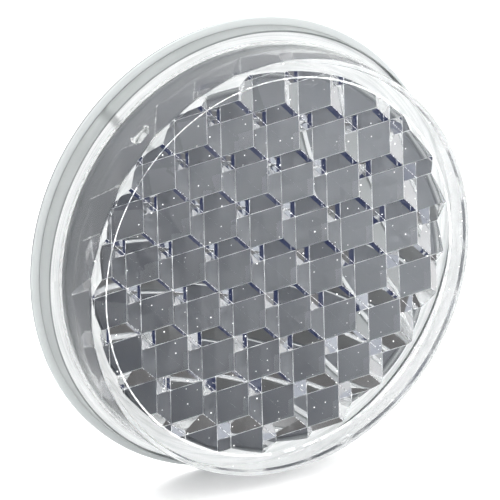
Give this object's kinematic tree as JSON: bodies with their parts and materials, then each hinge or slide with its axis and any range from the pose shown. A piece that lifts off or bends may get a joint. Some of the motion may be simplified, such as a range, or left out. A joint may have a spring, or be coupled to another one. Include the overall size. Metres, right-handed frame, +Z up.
{
  "type": "triple-mirror retroreflector",
  "caption": "Round clear plastic corner-cube reflector target: a faceted prism lens with a raised rim bead, side wall and rear flange, closed by a flat light-grey welded back plate.",
  "frame": {"origin": "centre of the flat rear face of the back plate", "axes": "+Y points rearwards along the optical axis, out of the mounting face; the window looks along -Y; +Z is up when the reflector hangs upright"},
  "size_m": [0.0398, 0.008, 0.0398],
  "materials": {
    "clear_acrylic": "polished clear acrylic with optically flat facets",
    "grey_plastic": "matte light-grey moulded plastic, opaque"
  },
  "bodies": {
    "root": {"prism_lens": "clear_acrylic", "rear_cover": "grey_plastic"}
  },
  "joints": []
}
